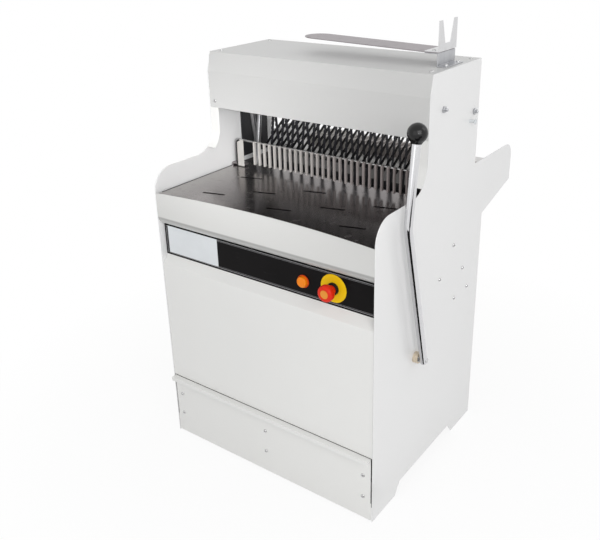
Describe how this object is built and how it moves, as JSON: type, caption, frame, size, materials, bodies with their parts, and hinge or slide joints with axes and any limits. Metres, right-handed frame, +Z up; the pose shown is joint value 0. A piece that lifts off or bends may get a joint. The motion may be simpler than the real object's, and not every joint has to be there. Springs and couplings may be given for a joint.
{
  "type": "bread slicer",
  "caption": "Floor-standing bakery bread slicer: white steel cabinet, blade frames under a hood, loaf comb drawn by a long side lever, crumb drawer and bag spoon.",
  "frame": {"origin": "on the floor under the middle of the whole machine", "axes": "+Z up, +X to the right of a user at the front, +Y from the front to the rear"},
  "size_m": [0.7086, 0.751, 1.162],
  "materials": {
    "enamel": "warm white stove enamel, semi-gloss",
    "hood_enamel": "warm light grey stove enamel, semi-gloss",
    "table_steel": "dark brushed stainless sheet",
    "stainless": "satin stainless sheet",
    "bright_steel": "bright zinc or chrome plate",
    "comb_white": "cream coated steel",
    "black_plastic": "black moulded plastic",
    "strip_black": "black printed film with a thin grey frame",
    "label_white": "bare white label film",
    "orange_lens": "orange lamp lens",
    "yellow_plate": "plain yellow disc",
    "red_button": "red moulded mushroom head",
    "black_knob": "black ball knob",
    "brass_bush": "bronze bush",
    "chrome_tube": "hard chromed tube and rod",
    "bush_plastic": "natural acetal",
    "strip_black_steel": "dark coated steel strip",
    "frame_steel": "machined steel",
    "blade_steel": "scalloped blade steel",
    "grey_paint": "grey machine paint",
    "cast_grey": "turned cast iron",
    "motor_paint": "blue grey motor paint",
    "belt_rubber": "toothed rubber belt"
  },
  "bodies": {
    "cabinet": {"side_panel_left": "enamel", "side_panel_right": "enamel", "column_flanges": "enamel", "hood_shell": "hood_enamel", "feed_table": "table_steel", "rear_tray": "table_steel", "table_apron": "enamel", "control_fascia": "enamel", "control_strip": "strip_black", "label_plate": "label_white", "front_panel": "enamel", "back_cover": "enamel", "switch_bodies": "black_plastic", "button_bezel": "bright_steel", "estop_plate": "yellow_plate", "estop_collar": "black_plastic", "cross_beams": "grey_paint", "lever_bushes": "brass_bush", "guide_rods": "chrome_tube", "rod_brackets": "grey_paint", "guide_beams": "grey_paint", "guide_bushes": "bush_plastic", "end_plates": "grey_paint", "rocker_saddle": "grey_paint", "crank_bearings": "cast_grey", "motor": "motor_paint", "drive_belt": "belt_rubber", "drive_bed": "grey_paint", "spoon_bracket": "stainless", "fork_plate": "stainless", "bag_spoon": "stainless", "hood_screws": "bright_steel", "panel_bolts": "bright_steel", "cord_hook": "black_plastic"},
    "lever": {"lever_tube": "chrome_tube", "lever_knob": "black_knob", "lever_shaft": "bright_steel", "lever_arms": "grey_paint"},
    "carriage": {"carriage_bars": "bright_steel", "carriage_bushes": "bush_plastic", "comb_fingers": "comb_white", "comb_frame": "comb_white", "pusher_fingers": "comb_white", "carriage_straps": "stainless"},
    "hold_down": {"hold_down_rod": "bright_steel", "hold_down_strips": "strip_black_steel"},
    "frame_a": {"frame_a_carrier": "frame_steel", "frame_a_blades": "blade_steel", "connecting_rods": "cast_grey"},
    "frame_b": {"frame_b_carrier": "frame_steel", "frame_b_blades": "blade_steel"},
    "rocker": {"rocker_beam": "frame_steel"},
    "crank": {"crankshaft": "cast_grey", "driven_pulley": "cast_grey"},
    "motor_rotor": {"motor_rotor": "cast_grey"},
    "drawer": {"drawer_front": "enamel", "drawer_tray": "stainless", "drawer_screws": "bright_steel"},
    "estop": {"estop_mushroom": "red_button"},
    "start": {"start_button": "orange_lens"}
  },
  "joints": [
    {"name": "lever_swing", "type": "hinge", "parent": "cabinet", "child": "lever", "pos_m": [0, -0.1595, 0.373], "axis": [1, 0, 0], "range_deg": [0, 38.2]},
    {"name": "carriage_slide", "type": "slide", "parent": "cabinet", "child": "carriage", "axis": [0, -1, 0], "range_m": [0, 0.22]},
    {"name": "hold_down_lift", "type": "hinge", "parent": "cabinet", "child": "hold_down", "pos_m": [0, 0.1145, 0.875], "axis": [-1, 0, 0], "range_deg": [0, 25]},
    {"name": "frame_a_stroke", "type": "slide", "parent": "cabinet", "child": "frame_a", "axis": [0, 0.1392, 0.9903], "range_m": [-0.02, 0.02]},
    {"name": "frame_b_stroke", "type": "slide", "parent": "cabinet", "child": "frame_b", "axis": [0, -0.1392, 0.9903], "range_m": [-0.02, 0.02]},
    {"name": "rocker_turn", "type": "hinge", "parent": "cabinet", "child": "rocker", "pos_m": [-0.02125, 0.0095, 0.64924], "axis": [0, 1, 0], "range_deg": [-16.4, 16.4]},
    {"name": "crank_turn", "type": "hinge", "parent": "cabinet", "child": "crank", "pos_m": [0, 0.01167, 0.5235], "axis": [1, 0, 0], "continuous": true},
    {"name": "motor_turn", "type": "hinge", "parent": "cabinet", "child": "motor_rotor", "pos_m": [0, 0.0875, 0.362], "axis": [1, 0, 0], "continuous": true},
    {"name": "drawer_pull", "type": "slide", "parent": "cabinet", "child": "drawer", "axis": [0, -1, 0], "range_m": [0, 0.4]},
    {"name": "estop_push", "type": "slide", "parent": "cabinet", "child": "estop", "axis": [0, 1, 0], "range_m": [0, 0.004]},
    {"name": "start_push", "type": "slide", "parent": "cabinet", "child": "start", "axis": [0, 1, 0], "range_m": [0, 0.003], "stiffness_N_per_m": 400}
  ],
  "couplings": [
    {"joint": "carriage_slide", "follows": "lever_swing", "m_per_rad": 0.32934},
    {"joint": "frame_b_stroke", "follows": "frame_a_stroke", "ratio": -1},
    {"joint": "rocker_turn", "follows": "frame_a_stroke", "rad_per_m": 14.15},
    {"joint": "motor_turn", "follows": "crank_turn", "ratio": 2}
  ]
}
